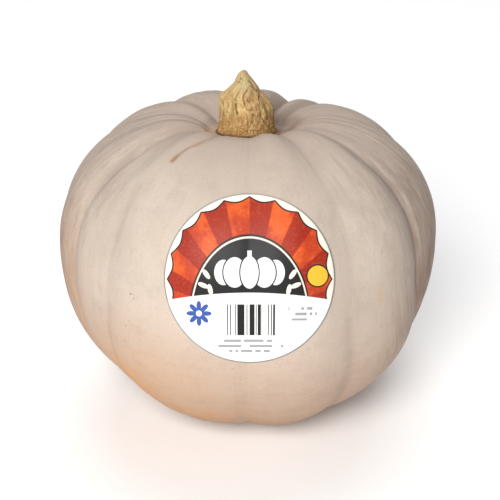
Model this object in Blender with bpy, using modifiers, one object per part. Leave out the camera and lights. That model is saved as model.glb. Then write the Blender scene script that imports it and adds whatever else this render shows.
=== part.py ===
"""Ghost pumpkin: a pale ribbed squash, its dried stem stub and a round paper label."""

import math

import bmesh
import bpy
from mathutils import Vector

# Lengths are in metres. Azimuths are in degrees from the front (-Y), plus toward +X.

# The smooth fruit, before its grooves: two rounded quarter curves that meet at the widest level.
FRUIT_RADIUS = 0.110
WIDEST_LEVEL = 0.097
SHOULDER_RISE = 0.0822
SHOULDER_POWER = 2.41
BELLY_DROP = 0.1052
BELLY_POWER = 2.09

# The hollow round the stem, and the flat seat in it that the stem grew from.
CROWN_DIP = 0.0235
CROWN_DIP_RADIUS = 0.026
SEAT_RADIUS = 0.0188
SEAT_BLEND = 0.008
SEAT_LEAN = math.radians(8)

# The underside is flattened where the fruit rests, with a soft turn into the belly.
FOOT_ROUNDING = 0.003

# Grooves between the ribs: azimuth at the widest level, depth, half width in degrees, drift
# in degrees for each radian down the fruit, the bend in degrees that the belly adds, and how
# far the rib that follows swells out, or falls short where it is flat.
GROOVES = (
    (-65.3, 0.0046, 5.0, 0.5, 2.0, -0.0014),
    (-45.5, 0.0040, 6.5, -1.7, -6.0, -0.0008),
    (-23.4, 0.0008, 6.0, -5.0, -3.0, -0.0004),
    (0.1, 0.0016, 6.0, -0.6, -0.8, 0.0014),
    (30.8, 0.0017, 6.0, -1.4, 11.0, 0.0004),
    (60.8, 0.0041, 6.5, -3.1, 26.0, -0.0020),
    (83.0, 0.0018, 6.0, -2.0, 14.0, 0.0),
    (106.3, 0.0042, 6.5, 0.9, 5.0, 0.0),
    (136.8, 0.0068, 7.0, 0.2, 0.0, 0.0),
    (157.3, 0.0064, 7.0, 1.4, 0.0, 0.0),
    (184.6, 0.0042, 7.0, -1.4, 0.0, 0.0004),
    (220.2, 0.0032, 7.0, -4.0, 0.0, 0.0006),
    (249.0, 0.0018, 6.5, -3.5, 0.0, 0.0),
    (270.5, 0.0014, 6.0, 0.0, 0.0, 0.0),
)
VALLEY_POWER = 1.4
GROOVE_START_RADIUS = 0.028
GROOVE_CROWN_GAIN = 0.5

# How finely the fruit is divided, round each rib and from the stem to the underside.
LINES_PER_RIB = 6
LINE_CROWDING = 0.5
FRUIT_LEVELS = 42
CROWN_CROWDING = 0.8

# The stem stub: a stout fluted column with a flared foot and an oblique pointed top.
STEM_SIDE = -0.0006
STEM_RADIUS = 0.0152
STEM_HEIGHT = 0.0350
STEM_COLUMN_HEIGHT = 0.0170
STEM_POINT_POWER = 1.05
STEM_TOP_TILT = math.radians(13)
STEM_TIP_SHIFT = -0.0017
STEM_FLARE = 0.0017
STEM_FLARE_HEIGHT = 0.0035
FLUTES = 9
FLUTE_DEPTH = 0.0007
FLUTE_PHASE = 0.8
WRINKLES = 20
WRINKLE_DEPTH = 0.0003
KNOB_AZIMUTH = math.radians(20)
KNOB_LEVEL = 0.021
KNOB_HEIGHT = 0.0018
KNOB_SPREAD = 0.005
STEM_SEGMENTS = 60
STEM_LEVELS = 20
STEM_FOOT_RINGS = 3

# The round paper label. It faces up a little, and follows the front of the fruit.
LABEL_DIAMETER = 0.088
LABEL_THICKNESS = 0.0006
LABEL_GAP = 0.0005
LABEL_CENTRE_SIDE = 0.0006
LABEL_CENTRE_RADIUS = 0.1075
LABEL_CENTRE_LEVEL = 0.1262
LABEL_AIM = math.radians(26)
LABEL_RINGS = 8
LABEL_SEGMENTS = 48
MERGE_DISTANCE = 0.00001

# Clearance under the stem's foot.
GAP = 0.0003

SKIN_COLOUR = (0.68, 0.56, 0.47, 1.0)
STEM_COLOUR = (0.52, 0.36, 0.16, 1.0)
LABEL_COLOUR = (0.85, 0.84, 0.82, 1.0)


def clear_scene():
    """Remove every object that the file opens with."""
    for thing in list(bpy.data.objects):
        bpy.data.objects.remove(thing, do_unlink=True)


def make_material(name, colour, roughness):
    """A plain material for one piece."""
    material = bpy.data.materials.new(name)
    material.use_nodes = True
    shader = material.node_tree.nodes["Principled BSDF"]
    shader.inputs["Base Color"].default_value = colour
    shader.inputs["Roughness"].default_value = roughness
    shader.inputs["Metallic"].default_value = 0.0
    return material


def make_object(name, shape, material, collection):
    """Make a bmesh into a smooth-shaded object."""
    mesh = bpy.data.meshes.new(name)
    shape.to_mesh(mesh)
    shape.free()
    mesh.shade_smooth()
    mesh.materials.append(material)
    thing = bpy.data.objects.new(name, mesh)
    collection.objects.link(thing)
    return thing


def bell(distance, spread):
    """A soft bump: 1 in its middle, and nearly 0 at twice its spread."""
    return math.exp(-(distance / spread) ** 2)


def ease(value):
    """A smooth step from 0 to 1."""
    value = min(max(value, 0.0), 1.0)
    return value * value * (3 - 2 * value)


def skin_profile(turn):
    """Radius of the smooth fruit, and its height over the widest level.

    The turn is an angle from 0 at the stem to pi in the middle of the underside.
    """
    reach = min(abs(math.sin(turn)), 1.0)
    if turn < math.pi / 2:
        rise = SHOULDER_RISE * (1 - reach**SHOULDER_POWER) ** (1 / SHOULDER_POWER)
        rise -= CROWN_DIP * bell(FRUIT_RADIUS * reach, CROWN_DIP_RADIUS)
    else:
        rise = -BELLY_DROP * (1 - reach**BELLY_POWER) ** (1 / BELLY_POWER)
    return Vector((FRUIT_RADIUS * reach, rise))


def skin_normal(turn):
    """Outward direction of the smooth profile, as its radial and upward parts."""
    step = 0.002
    along = skin_profile(min(turn + step, math.pi)) - skin_profile(max(turn - step, 0.0))
    along.normalize()
    return Vector((-along.y, along.x))


def level_turns():
    """The turn of each level: evenly spaced along the profile, and closer together at the crown."""
    samples = 600
    crowd_radius = 2 * CROWN_DIP_RADIUS
    turns = [math.pi * index / samples for index in range(samples + 1)]
    lengths = [0.0]
    for start, end in zip(turns, turns[1:]):
        place = skin_profile(start)
        crowding = CROWN_CROWDING * bell(place.x, crowd_radius) if place.y > 0 else 0.0
        lengths.append(lengths[-1] + (skin_profile(end) - place).length * (1 + crowding))
    levels = []
    index = 0
    for level in range(FRUIT_LEVELS + 1):
        target = lengths[-1] * level / FRUIT_LEVELS
        while index < samples - 1 and lengths[index + 1] < target:
            index += 1
        share = (target - lengths[index]) / (lengths[index + 1] - lengths[index])
        levels.append(turns[index] + share * (turns[index + 1] - turns[index]))
    return levels


def groove_middle(groove, turn):
    """Azimuth of the bottom of a groove at one level."""
    azimuth, _, _, drift, bend, _ = groove
    past_widest = turn - math.pi / 2
    return azimuth + drift * past_widest + bend * math.sin(max(past_widest, 0.0))


def groove_cut(azimuth, turn):
    """How deep the grooves cut at one place, less what the rib swells there."""
    total = 0.0
    for groove, following in zip(GROOVES, GROOVES[1:] + GROOVES[:1]):
        _, depth, half_width, _, _, swell = groove
        past = (azimuth - groove_middle(groove, turn)) % 360
        total += depth * math.exp(-((min(past, 360 - past) / half_width) ** VALLEY_POWER))
        rib_width = (groove_middle(following, turn) - groove_middle(groove, turn)) % 360
        if past < rib_width:
            total -= swell * math.sin(math.pi * past / rib_width) ** 2
    start = 1 - bell(skin_profile(turn).x, GROOVE_START_RADIUS)
    return total * start * (1 + GROOVE_CROWN_GAIN * max(math.cos(turn), 0.0))


def line_azimuth(line, turn):
    """Azimuth of one lengthwise line. Each groove has a line in its bottom, and others close by."""
    rib, step = divmod(line, LINES_PER_RIB)
    left = groove_middle(GROOVES[rib], turn)
    right = groove_middle(GROOVES[(rib + 1) % len(GROOVES)], turn)
    even = step / LINES_PER_RIB
    eased = (1 - math.cos(math.pi * even)) / 2
    share = even + LINE_CROWDING * (eased - even)
    return left + share * ((right - left) % 360)


def seat_height(forward):
    """Height of the stem's seat, a number of metres in front of its middle."""
    rim = skin_profile(math.asin(SEAT_RADIUS / FRUIT_RADIUS))
    return WIDEST_LEVEL + rim.y + forward * math.tan(SEAT_LEAN)


def skin_point(azimuth, turn):
    """A place on the skin, from the fruit's own axis and the level that it rests on."""
    radius, rise = skin_profile(turn) - skin_normal(turn) * groove_cut(azimuth, turn)
    forward = radius * math.cos(math.radians(azimuth))
    height = WIDEST_LEVEL + rise
    if turn < math.pi / 2:
        height += forward * math.tan(SEAT_LEAN) * bell(radius, 2 * SEAT_RADIUS)
        seat = seat_height(forward)
        height = seat + (height - seat) * ease((radius - SEAT_RADIUS) / SEAT_BLEND)
    elif height < FOOT_ROUNDING:
        height = max(height + FOOT_ROUNDING, 0.0) ** 2 / (4 * FOOT_ROUNDING)
    return Vector((radius * math.sin(math.radians(azimuth)), -forward, height))


def ball_place(vertex, around, up):
    """Which line and which level of a ball a vertex is on, counted from the front and the top."""
    line = round(math.atan2(vertex.co.x, -vertex.co.y) / math.tau * around) % around
    level = round(math.acos(min(max(vertex.co.z, -1.0), 1.0)) / math.pi * up)
    return line, level


def build_fruit(collection):
    """The ribbed fruit: a ball, each point of it moved on to the skin."""
    lines = LINES_PER_RIB * len(GROOVES)
    turns = level_turns()
    shape = bmesh.new()
    bmesh.ops.create_uvsphere(shape, u_segments=lines, v_segments=FRUIT_LEVELS, radius=1.0)
    for vertex in shape.verts:
        line, level = ball_place(vertex, lines, FRUIT_LEVELS)
        vertex.co = skin_point(line_azimuth(line, turns[level]), turns[level])
    xs = [vertex.co.x for vertex in shape.verts]
    ys = [vertex.co.y for vertex in shape.verts]
    fruit = make_object("fruit", shape, make_material("fruit skin", SKIN_COLOUR, 0.6), collection)
    fruit.location = (-(min(xs) + max(xs)) / 2, -(min(ys) + max(ys)) / 2, 0.0)
    return fruit


def stem_outline(share):
    """Radius and height of the stem without its flutes, from 0 at the foot to 1 at the tip."""
    height = STEM_HEIGHT * share
    climb = max(height - STEM_COLUMN_HEIGHT, 0.0) / (STEM_HEIGHT - STEM_COLUMN_HEIGHT)
    return STEM_RADIUS * (1 - climb) ** STEM_POINT_POWER, height


def stem_point(angle, share):
    """A place on the stem, from the middle of its foot."""
    radius, height = stem_outline(share)
    flutes = FLUTE_DEPTH * math.cos(FLUTES * angle + FLUTE_PHASE)
    flutes += WRINKLE_DEPTH * math.cos(WRINKLES * angle)
    radius += STEM_FLARE * bell(height, STEM_FLARE_HEIGHT) + flutes * radius / STEM_RADIUS
    place = Vector((radius * math.sin(angle), -radius * math.cos(angle), height))
    knob_side = Vector((math.sin(KNOB_AZIMUTH), -math.cos(KNOB_AZIMUTH), 0.0))
    knob_middle = knob_side * STEM_RADIUS + Vector((0.0, 0.0, KNOB_LEVEL))
    place += knob_side * KNOB_HEIGHT * bell((place - knob_middle).length, KNOB_SPREAD)
    place.z -= place.x * math.tan(STEM_TOP_TILT) * ease(height / STEM_COLUMN_HEIGHT)
    place.x += STEM_TIP_SHIFT * (height / STEM_HEIGHT) ** 2
    return place


def build_stem(collection, fruit):
    """The stem stub: a ball drawn out into a fluted column, with a flat foot on the seat."""
    shape = bmesh.new()
    bmesh.ops.create_uvsphere(shape, u_segments=STEM_SEGMENTS, v_segments=STEM_LEVELS, radius=1.0)
    for vertex in shape.verts:
        line, level = ball_place(vertex, STEM_SEGMENTS, STEM_LEVELS)
        angle = math.tau * line / STEM_SEGMENTS
        ring = STEM_LEVELS - level
        if ring <= STEM_FOOT_RINGS:
            vertex.co = stem_point(angle, 0.0) * (ring / STEM_FOOT_RINGS)
            vertex.co.z = 0.0
        else:
            vertex.co = stem_point(angle, (ring - STEM_FOOT_RINGS) / (STEM_LEVELS - STEM_FOOT_RINGS))
    stem = make_object("stem", shape, make_material("stem cork", STEM_COLOUR, 0.85), collection)
    stem.parent = fruit
    stem.location = (STEM_SIDE, 0.0, seat_height(0.0) + GAP)
    stem.rotation_euler = (-SEAT_LEAN, 0.0, 0.0)


def build_label(collection, fruit):
    """The paper label: a disc in rings, pressed back on to the fruit and given its thickness."""
    shape = bmesh.new()
    ring_width = LABEL_DIAMETER / 2 / LABEL_RINGS
    spoke = [shape.verts.new((ring_width * ring, 0, 0)) for ring in range(LABEL_RINGS + 1)]
    edges = [shape.edges.new(pair) for pair in zip(spoke, spoke[1:])]
    bmesh.ops.spin(
        shape,
        geom=spoke + edges,
        cent=(0, 0, 0),
        axis=(0, 0, 1),
        angle=math.tau,
        steps=LABEL_SEGMENTS,
        use_merge=True,
    )
    bmesh.ops.remove_doubles(shape, verts=shape.verts, dist=MERGE_DISTANCE)
    bmesh.ops.recalc_face_normals(shape, faces=shape.faces)
    label = make_object("label", shape, make_material("label paper", LABEL_COLOUR, 0.5), collection)
    label.parent = fruit
    facing = Vector((0.0, -math.cos(LABEL_AIM), math.sin(LABEL_AIM)))
    centre = Vector((LABEL_CENTRE_SIDE, -LABEL_CENTRE_RADIUS, LABEL_CENTRE_LEVEL))
    label.location = centre + facing * LABEL_DIAMETER
    label.rotation_euler = (math.pi / 2 - LABEL_AIM, 0.0, 0.0)
    press = label.modifiers.new("pressed on", "SHRINKWRAP")
    press.target = fruit
    press.wrap_method = "PROJECT"
    press.wrap_mode = "ABOVE_SURFACE"
    press.use_project_z = True
    press.use_negative_direction = True
    press.use_positive_direction = False
    press.offset = LABEL_GAP
    paper = label.modifiers.new("paper", "SOLIDIFY")
    paper.thickness = LABEL_THICKNESS
    paper.offset = 1.0


def build():
    """Build the fruit, and the stem and the label on it."""
    clear_scene()
    collection = bpy.data.collections.new("ghost pumpkin")
    bpy.context.scene.collection.children.link(collection)
    fruit = build_fruit(collection)
    build_stem(collection, fruit)
    build_label(collection, fruit)


build()
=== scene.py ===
import math

import bpy
import numpy as np
from mathutils import Matrix, Vector, noise


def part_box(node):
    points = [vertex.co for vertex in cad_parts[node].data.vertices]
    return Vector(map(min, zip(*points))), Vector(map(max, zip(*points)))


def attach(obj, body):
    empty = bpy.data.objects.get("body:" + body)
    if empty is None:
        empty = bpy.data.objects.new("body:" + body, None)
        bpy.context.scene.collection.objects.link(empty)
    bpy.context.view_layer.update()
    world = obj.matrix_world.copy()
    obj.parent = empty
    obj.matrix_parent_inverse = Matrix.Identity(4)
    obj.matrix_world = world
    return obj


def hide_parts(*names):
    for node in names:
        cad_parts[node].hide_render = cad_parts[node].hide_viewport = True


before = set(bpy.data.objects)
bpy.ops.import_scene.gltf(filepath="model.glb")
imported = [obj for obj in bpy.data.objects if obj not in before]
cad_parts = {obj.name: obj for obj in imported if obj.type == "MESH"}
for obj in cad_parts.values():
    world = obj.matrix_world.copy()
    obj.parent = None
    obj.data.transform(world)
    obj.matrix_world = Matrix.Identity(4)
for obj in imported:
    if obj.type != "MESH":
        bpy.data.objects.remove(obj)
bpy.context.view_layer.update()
bpy.ops.object.select_all(action="DESELECT")

# The camera stands where the photograph was taken from: in front of the fruit, 800 mm away,
# and looking down on it by 26 degrees. Lengths are in metres, and the front faces -Y.
IMAGE_SIDE_PIXELS = 500
FOCAL_LENGTH_PIXELS = 1357
SENSOR_WIDTH_MM = 36.0
VIEW_ELEVATION = math.radians(26)
VIEW_DISTANCE = 0.800
VIEW_TARGET = Vector((0.00071, 0.00039, 0.0903))
view_back = Vector((0.0, -math.cos(VIEW_ELEVATION), math.sin(VIEW_ELEVATION)))
bpy.ops.object.camera_add(
    location=VIEW_TARGET + view_back * VIEW_DISTANCE,
    rotation=(math.pi / 2 - VIEW_ELEVATION, 0.0, 0.0),
)
camera = bpy.context.object
camera.data.sensor_width = SENSOR_WIDTH_MM
camera.data.lens = SENSOR_WIDTH_MM * FOCAL_LENGTH_PIXELS / IMAGE_SIDE_PIXELS
bpy.context.scene.camera = camera
bpy.context.scene.view_settings.view_transform = "Standard"

# The floor is one wide sheet of white studio paper under everything, and only part of the
# stage. It lies a hair below the fruit's flat foot.
FLOOR_SIDE = 9.0
FLOOR_GAP = 0.0001
FLOOR_COLOUR = (0.95, 0.95, 0.955, 1.0)
FLOOR_ROUGHNESS = 0.9


def set_inputs(material, node, values):
    """Give a node's inputs their numbers and colours, or link them to other nodes' outputs."""
    for place, value in values.items():
        if isinstance(value, bpy.types.NodeSocket):
            material.node_tree.links.new(value, node.inputs[place])
        else:
            node.inputs[place].default_value = value


def new_material(name):
    """A new material, and its shader."""
    made = bpy.data.materials.new(name)
    made.use_nodes = True
    return made, made.node_tree.nodes["Principled BSDF"]


bpy.ops.mesh.primitive_plane_add(size=FLOOR_SIDE, location=(0.0, 0.0, -FLOOR_GAP))
floor = bpy.context.object
floor.name = "floor"
floor_paper, floor_shader = new_material("floor paper")
set_inputs(floor_paper, floor_shader, {"Base Color": FLOOR_COLOUR, "Roughness": FLOOR_ROUGHNESS})
floor.data.materials.append(floor_paper)

# The light is plain and soft: one large window of light in front, to the left and above, a
# weaker one from behind that keeps the paper white, and a pale even sky.
LIGHT_DISTANCE = 2.6
SKY_COLOUR = (1.0, 0.99, 0.98, 1.0)
SKY_STRENGTH = 0.17
LIGHTS = (
    # name, azimuth, elevation, side of its square, watts, colour
    ("key light", -16, 34, 1.4, 84.0, (1.0, 0.985, 0.965)),
    ("back light", 175, 58, 2.4, 46.0, (0.98, 0.99, 1.0)),
)
for name, azimuth, elevation, side, watts, colour in LIGHTS:
    azimuth = math.radians(azimuth)
    elevation = math.radians(elevation)
    away = Vector((
        math.sin(azimuth) * math.cos(elevation),
        -math.cos(azimuth) * math.cos(elevation),
        math.sin(elevation),
    ))
    bpy.ops.object.light_add(
        type="AREA",
        location=VIEW_TARGET + away * LIGHT_DISTANCE,
        rotation=away.to_track_quat("Z", "Y").to_euler(),
    )
    lamp = bpy.context.object
    lamp.name = name
    lamp.data.size = side
    lamp.data.energy = watts
    lamp.data.color = colour
sky = bpy.data.worlds.new("studio")
sky.use_nodes = True
set_inputs(sky, sky.node_tree.nodes["Background"], {"Color": SKY_COLOUR, "Strength": SKY_STRENGTH})
bpy.context.scene.world = sky

# The fruit: one ripe squash, grown as a hollow shell with fourteen uneven ribs between
# grooves that run from the stem to the blossom end. Its skin is smooth, waxy and unpainted,
# pale cream with finer grey lines along the ribs. Sizes are those of the solid model.
FRUIT_RADIUS = 0.110
WIDEST_LEVEL = 0.097
SHOULDER_RISE = 0.0822
SHOULDER_POWER = 2.41
BELLY_DROP = 0.1052
BELLY_POWER = 2.09
CROWN_DIP = 0.0235
CROWN_DIP_RADIUS = 0.026
SEAT_RADIUS = 0.0188
SEAT_BLEND = 0.008
SEAT_LEAN = math.radians(8)
FOOT_ROUNDING = 0.003

# The grooves, in metres and degrees: how each drifts and bends round the fruit on its way down,
# how far the rib after it swells, the share of its depth that is left at the crown, and how
# dark the painted shade in its bottom is.
GROOVE_FIELDS = (
    "azimuth", "depth", "half_width", "drift", "bend", "swell_of_next_rib",
    "left_at_crown", "darkness",
)
GROOVES = [dict(zip(GROOVE_FIELDS, row)) for row in (
    (-65.3, 0.0041, 6.2, 0.5, 2.0, -0.0014, 1.0, 0.24),
    (-45.5, 0.0036, 7.5, -1.7, -6.0, -0.0008, 0.05, 0.30),
    (-23.4, 0.0008, 6.0, -5.0, -3.0, -0.0004, 0.7, 0.12),
    (0.1, 0.0016, 6.0, -0.6, -0.8, 0.0014, 0.5, 0.20),
    (30.8, 0.0012, 6.5, -1.4, 11.0, 0.0004, 0.55, 0.28),
    (60.8, 0.0041, 6.5, -3.1, 26.0, -0.0020, 1.0, 0.80),
    (83.0, 0.0018, 6.0, -2.0, 14.0, 0.0, 0.8, 0.45),
    (106.3, 0.0042, 6.5, 0.9, 5.0, 0.0, 0.9, 0.50),
    (136.8, 0.0068, 7.0, 0.2, 0.0, 0.0, 1.0, 0.60),
    (157.3, 0.0064, 7.0, 1.4, 0.0, 0.0, 1.0, 0.60),
    (184.6, 0.0042, 7.0, -1.4, 0.0, 0.0004, 1.0, 0.50),
    (220.2, 0.0032, 7.0, -4.0, 0.0, 0.0006, 1.0, 0.60),
    (249.0, 0.0018, 6.5, -3.5, 0.0, 0.0, 1.0, 0.50),
    (270.5, 0.0014, 6.0, 0.0, 0.0, 0.0, 0.8, 0.40),
)]
VALLEY_POWER = 1.4
VALLEY_SPREAD = 1.25
GROOVE_START_RADIUS = 0.028
GROOVE_CROWN_GAIN = 0.5
CROWN_END_TURN = 0.75
CROWN_END_BLEND = 0.55

# Points in the mesh. Lines and levels of points are whole numbers of splits of a coarse ball.
LINES_PER_RIB = 36
LINE_CROWDING = 0.7
FRUIT_LEVELS = 188
PROFILE_SAMPLES = 1201
CROWN_CROWDING = 0.5
SPLITS = 4

# Thin creases pinched into the skin, with painted shade along them: azimuth, where each starts
# and ends as turns from the stem, its depth, its half width, and how dark its painted shade is.
CREASES = (
    (-65.3, 0.20, 0.80, 0.0006, 0.0010, 0.55),
    (-65.3, 0.62, 1.15, 0.0004, 0.0032, 0.45),
    (-45.5, 0.80, 1.35, 0.0002, 0.0040, 0.25),
    (-45.5, 1.62, 2.25, 0.0003, 0.0017, 0.30),
    (30.8, 0.35, 0.85, 0.0002, 0.0035, 0.22),
    (41.5, 0.58, 0.98, 0.0002, 0.0008, 0.50),
    (46.5, 0.72, 0.95, 0.0002, 0.0008, 0.35),
    (35.3, 0.70, 0.98, 0.0002, 0.0008, 0.40),
    (29.0, 1.50, 2.35, 0.0003, 0.0030, 0.18),
    (29.5, 1.95, 2.60, 0.0006, 0.0040, 0.12),
    (41.8, 1.04, 1.34, 0.0002, 0.0009, 0.40),
    (70.0, 0.35, 0.75, 0.0002, 0.0008, 0.35),
    (75.5, 0.45, 0.85, 0.0002, 0.0008, 0.30),
    (88.6, 0.22, 0.82, 0.0003, 0.0009, 0.55),
    (117.5, 0.28, 0.55, 0.0002, 0.0009, 0.60),
    (-78.0, 0.35, 0.75, 0.0002, 0.0008, 0.28),
    (-84.0, 0.50, 0.95, 0.0002, 0.0008, 0.30),
    (-57.0, 0.95, 1.30, 0.0002, 0.0010, 0.25),
    (60.8, 0.22, 0.84, 0.0009, 0.0011, 1.0),
    (60.8, 0.70, 1.20, 0.0006, 0.0042, 0.60),
    (54.0, 0.60, 0.95, 0.0003, 0.0020, 0.35),
    (60.8, 0.98, 1.80, 0.0007, 0.0014, 0.80),
    (83.0, 0.25, 0.60, 0.0003, 0.0012, 0.50),
    (106.3, 0.25, 0.70, 0.0003, 0.0012, 0.45),
    (136.8, 0.22, 0.70, 0.0005, 0.0012, 0.60),
    (157.3, 0.22, 0.80, 0.0005, 0.0012, 0.50),
    (184.6, 0.22, 0.80, 0.0004, 0.0012, 0.45),
    (220.2, 0.22, 0.75, 0.0004, 0.0012, 0.65),
    (249.0, 0.22, 0.60, 0.0003, 0.0014, 0.35),
)
CREASE_START_BLEND = 0.12
CREASE_END_BLEND = 0.25


def bell(distance, spread):
    """A soft bump: 1 in its middle, and nearly 0 at twice its spread."""
    return np.exp(-((distance / spread) ** 2))


def ease(value):
    """A smooth step from 0 to 1."""
    value = np.clip(value, 0.0, 1.0)
    return value * value * (3 - 2 * value)


def degrees_from(middle, azimuth):
    """Degrees from one azimuth to another, the short way round."""
    return (azimuth - middle + 180) % 360 - 180


def skin_profile(turn):
    """Radius of the smooth fruit and its height over the widest level, 0 at the stem to pi below."""
    reach = np.minimum(np.abs(np.sin(turn)), 1.0)
    shoulder = SHOULDER_RISE * (1 - reach**SHOULDER_POWER) ** (1 / SHOULDER_POWER)
    shoulder -= CROWN_DIP * bell(FRUIT_RADIUS * reach, CROWN_DIP_RADIUS)
    belly = -BELLY_DROP * (1 - reach**BELLY_POWER) ** (1 / BELLY_POWER)
    return FRUIT_RADIUS * reach, np.where(turn < math.pi / 2, shoulder, belly)


def skin_normal(turn):
    """Outward direction of the smooth profile, as its radial and upward parts."""
    step = 0.002
    after = skin_profile(np.minimum(turn + step, math.pi))
    before = skin_profile(np.maximum(turn - step, 0.0))
    out, up = after[0] - before[0], after[1] - before[1]
    length = np.hypot(out, up)
    return -up / length, out / length


def groove_middle(groove, turn):
    """Azimuth of the bottom of a groove at one level."""
    past_widest = turn - math.pi / 2
    bend = groove["bend"] * np.sin(np.maximum(past_widest, 0.0))
    return groove["azimuth"] + groove["drift"] * past_widest + bend


def fine_ball(name, segments, levels):
    """A ball to start a piece from, and the line and level on which each of its points lies."""
    bpy.ops.object.select_all(action="DESELECT")
    bpy.ops.mesh.primitive_uv_sphere_add(
        segments=segments // SPLITS, ring_count=levels // SPLITS, radius=1.0
    )
    made = bpy.context.object
    made.name = name
    bpy.ops.object.mode_set(mode="EDIT")
    bpy.ops.mesh.select_all(action="SELECT")
    bpy.ops.mesh.subdivide(number_cuts=SPLITS - 1)
    bpy.ops.object.mode_set(mode="OBJECT")
    ball = np.array([vertex.co.normalized() for vertex in made.data.vertices])
    line = np.rint(np.arctan2(ball[:, 0], -ball[:, 1]) / math.tau * segments)
    level = np.rint(np.arccos(np.clip(ball[:, 2], -1, 1)) / math.pi * levels)
    return made, line.astype(int), level.astype(int)


def noise_at(places):
    """Natural noise, from about -1 to 1, at each of many places."""
    return np.array([noise.noise(Vector(place)) for place in places])


# The levels lie evenly along the profile, and closer together at the crown.
fine_turns = np.linspace(0.0, math.pi, PROFILE_SAMPLES)
fine_radius, fine_rise = skin_profile(fine_turns)
crowding = np.where(fine_rise > 0, CROWN_CROWDING * bell(fine_radius, 2 * CROWN_DIP_RADIUS), 0.0)
steps = np.hypot(np.diff(fine_radius), np.diff(fine_rise)) * (1 + crowding[1:])
along_profile = np.concatenate(([0.0], np.cumsum(steps)))
level_turns = np.interp(
    np.linspace(0.0, along_profile[-1], FRUIT_LEVELS + 1), along_profile, fine_turns
)
line_count = LINES_PER_RIB * len(GROOVES)
fruit, line, level = fine_ball("pumpkin_skin", line_count, FRUIT_LEVELS)
turn = level_turns[level]

# Each groove has a line of points in its bottom, and others close by.
rib, step = np.divmod(line % line_count, LINES_PER_RIB)
even = step / LINES_PER_RIB
share = even + LINE_CROWDING * ((1 - np.cos(math.pi * even)) / 2 - even)
azimuth = np.zeros(len(turn))
rib_azimuth = np.zeros(len(turn))
for index, groove in enumerate(GROOVES):
    following = GROOVES[(index + 1) % len(GROOVES)]
    here = rib == index
    left = groove_middle(groove, turn[here])
    width = (groove_middle(following, turn[here]) - left) % 360
    azimuth[here] = left + share[here] * width
    width = (following["azimuth"] - groove["azimuth"]) % 360
    rib_azimuth[here] = groove["azimuth"] + share[here] * width

# How deep the grooves cut at each place, how dark the painted shade in them is, and how far the ribs
# swell.
cut = np.zeros(len(turn))
groove_shade = np.zeros(len(turn))
swell = np.zeros(len(turn))
past_crown = ease((turn - CROWN_END_TURN) / CROWN_END_BLEND)
for groove, following in zip(GROOVES, GROOVES[1:] + GROOVES[:1]):
    left = groove_middle(groove, turn)
    past = (azimuth - left) % 360
    near = np.minimum(past, 360 - past)
    strength = groove["left_at_crown"] + (1 - groove["left_at_crown"]) * past_crown
    cut += strength * groove["depth"] * np.exp(-((near / groove["half_width"]) ** VALLEY_POWER))
    groove_shade += strength * groove["darkness"] * bell(near, VALLEY_SPREAD * groove["half_width"])
    width = (groove_middle(following, turn) - left) % 360
    on_rib = groove["swell_of_next_rib"] * np.sin(math.pi * past / width) ** 2
    swell += np.where(past < width, on_rib, 0.0)
radius, rise = skin_profile(turn)
start = 1 - bell(radius, GROOVE_START_RADIUS)
start *= 1 + GROOVE_CROWN_GAIN * np.maximum(np.cos(turn), 0)
cut *= start
swell *= start

# Where the skin changes colour or is darkened by painted shade: places on it by azimuth and
# turn, how far each patch reaches round the fruit in degrees and down it as a turn, and its
# strength.
BLUSHES = (
    (-46.0, 2.16, 16.0, 0.26, 1.35),
    (-30.0, 2.36, 26.0, 0.20, 1.15),
    (-34.0, 2.00, 22.0, 0.30, 0.48),
    (-18.0, 2.26, 22.0, 0.13, 0.80),
    (-74.0, 1.86, 16.0, 0.46, 0.55),
    (12.0, 2.42, 40.0, 0.20, 0.45),
)
# Ruddy brown flanks, partly the skin's own colour and partly painted shade that darkens the fruit
# toward its left and right edges.
RUDDY_AND_SHADED_SIDES = (
    (81.0, 1.66, 20.0, 0.52, 1.05),
    (72.0, 1.68, 9.0, 0.36, 1.18),
    (64.0, 1.70, 7.0, 0.28, 0.90),
    (62.0, 1.36, 7.0, 0.26, 0.50),
    (52.0, 1.80, 8.0, 0.26, 0.38),
    (70.0, 1.88, 9.0, 0.24, 0.80),
    (76.0, 1.15, 16.0, 0.40, 0.40),
    (106.0, 1.62, 32.0, 0.70, 0.55),
    (-84.0, 1.62, 18.0, 0.52, 0.95),
    (-8.0, 2.44, 44.0, 0.14, 0.35),
    (-106.0, 1.60, 30.0, 0.65, 0.42),
    (-76.0, 1.22, 14.0, 0.26, 0.22),
)
# Weathered patches, where the grey streaks are strongest; they also darken the flanks, partly as the
# skin's own grey and partly as painted shade.
WEATHERING_AND_SHADE = (
    (-85.0, 0.75, 32.0, 0.50, 1.0),
    (-66.0, 0.95, 18.0, 0.40, 0.9),
    (64.0, 0.98, 24.0, 0.42, 1.15),
    (90.0, 0.90, 40.0, 0.60, 0.9),
    (150.0, 0.80, 50.0, 0.70, 0.8),
    (-150.0, 0.80, 50.0, 0.70, 0.8),
    (52.0, 1.50, 12.0, 0.50, 0.4),
    (56.0, 1.80, 9.0, 0.36, 0.9),
)


def soft_patches(rows):
    """How strongly a set of soft patches colours each place on the skin."""
    total = np.zeros(len(turn))
    for patch_azimuth, patch_turn, round_reach, down_reach, strength in rows:
        aside = degrees_from(patch_azimuth, azimuth) / round_reach
        down = (turn - patch_turn) / down_reach
        total = np.maximum(total, strength * np.exp(-(aside**2) - down**2))
    return total


weathering_and_shade = soft_patches(WEATHERING_AND_SHADE)
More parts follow.
